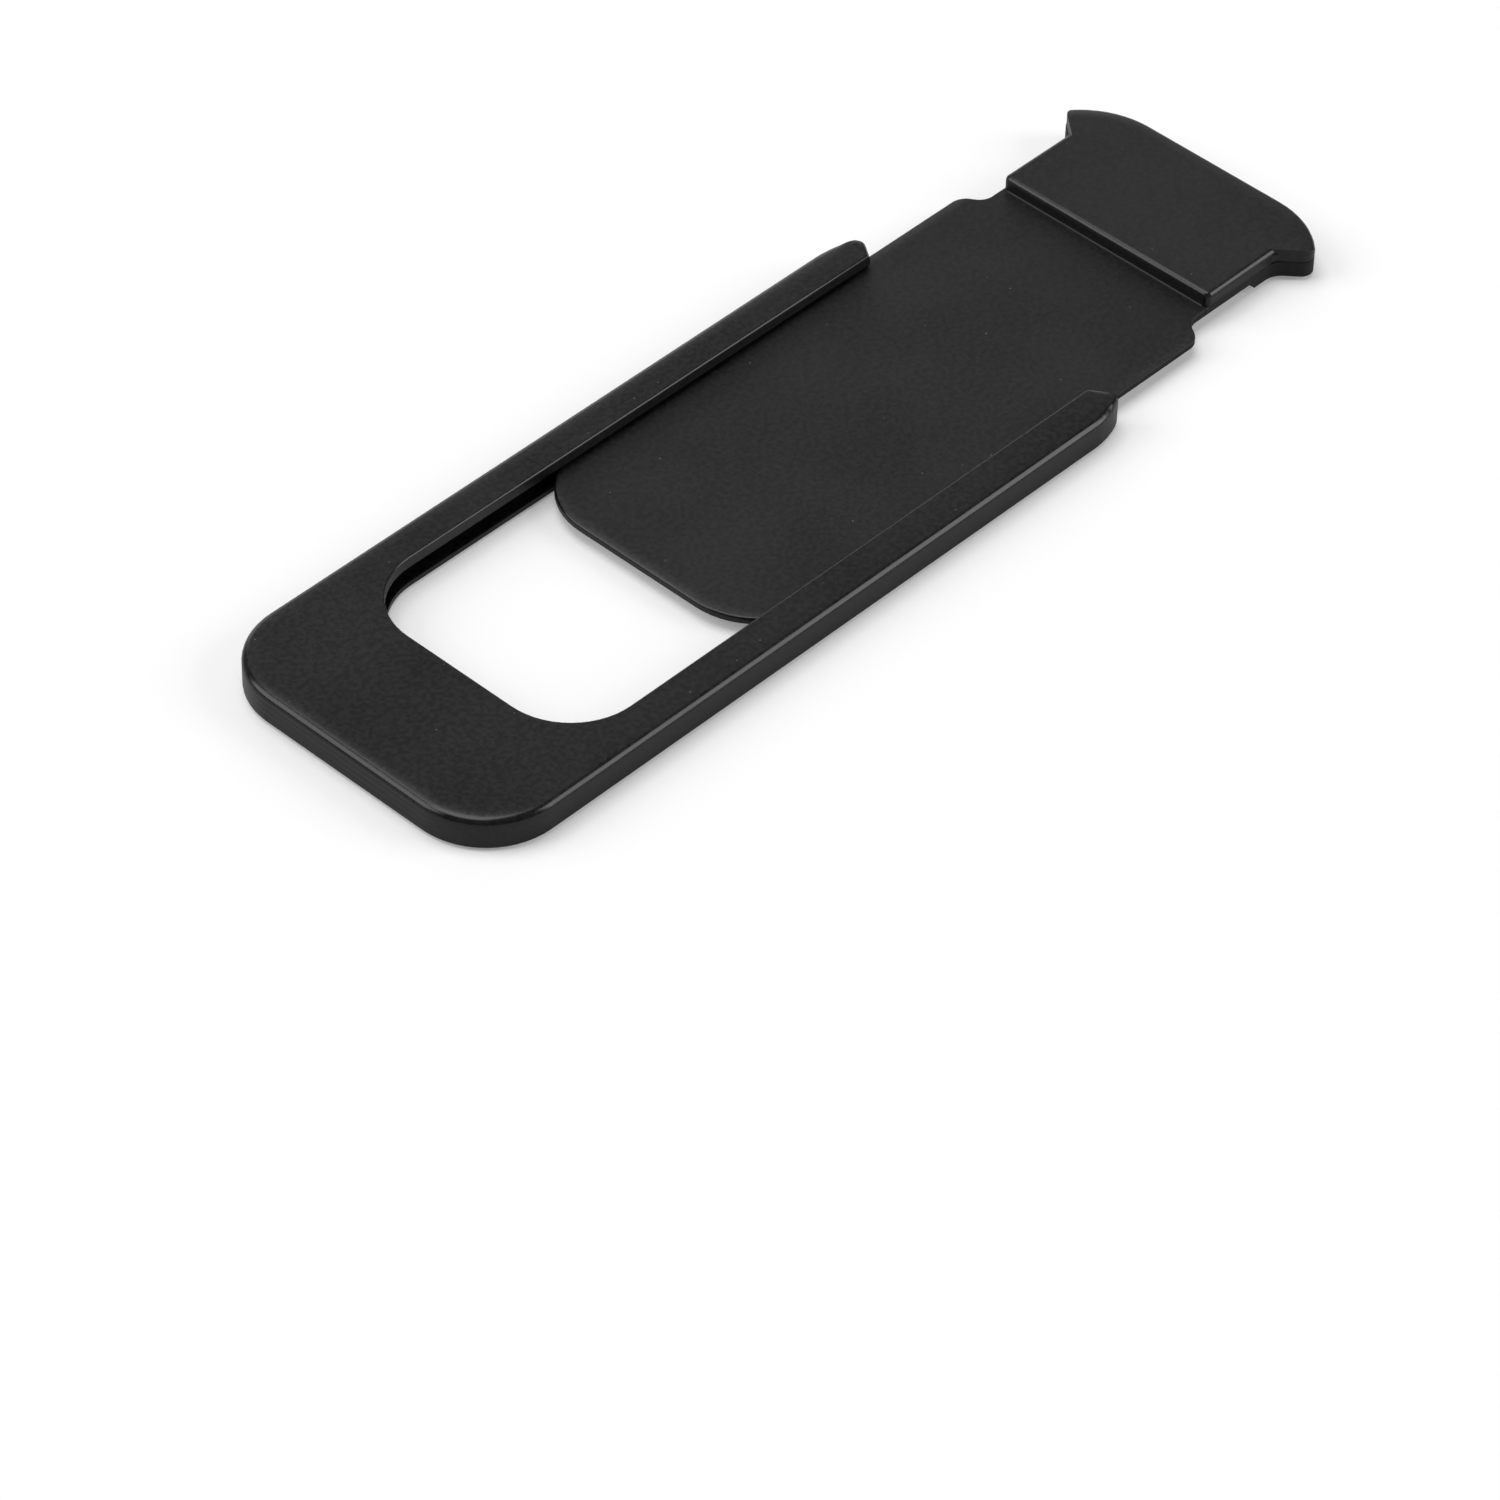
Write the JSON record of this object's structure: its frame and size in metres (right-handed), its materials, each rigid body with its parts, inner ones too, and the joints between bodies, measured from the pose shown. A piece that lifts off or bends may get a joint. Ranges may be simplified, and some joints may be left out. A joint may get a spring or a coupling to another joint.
{
  "type": "sliding webcam cover",
  "caption": "Flat horseshoe frame with a camera window, and a thin shutter plate with a raised grip that slides along the frame's grooves to cover the lens.",
  "frame": {"origin": "on the stuck face, under the middle of the bridge", "axes": "+X from the bridge towards the grip, the way the shutter opens; +Z out of the screen, away from the stuck face; +Y to the left when looking from the bridge towards the grip, completing a right-handed set"},
  "size_m": [0.0462, 0.014, 0.0014],
  "materials": {
    "black_plastic": "satin moulded plastic with a fine grain",
    "adhesive": "soft clear-grey acrylic adhesive",
    "liner_film": "smooth pale film"
  },
  "bodies": {
    "frame": {"frame": "black_plastic", "adhesive_tape": "adhesive", "release_liner": "liner_film"},
    "shutter": {"shutter": "black_plastic"}
  },
  "joints": [
    {"name": "shutter_slide", "type": "slide", "parent": "frame", "child": "shutter", "axis": [1, 0, 0], "range_m": [-0.0112, 0]}
  ]
}
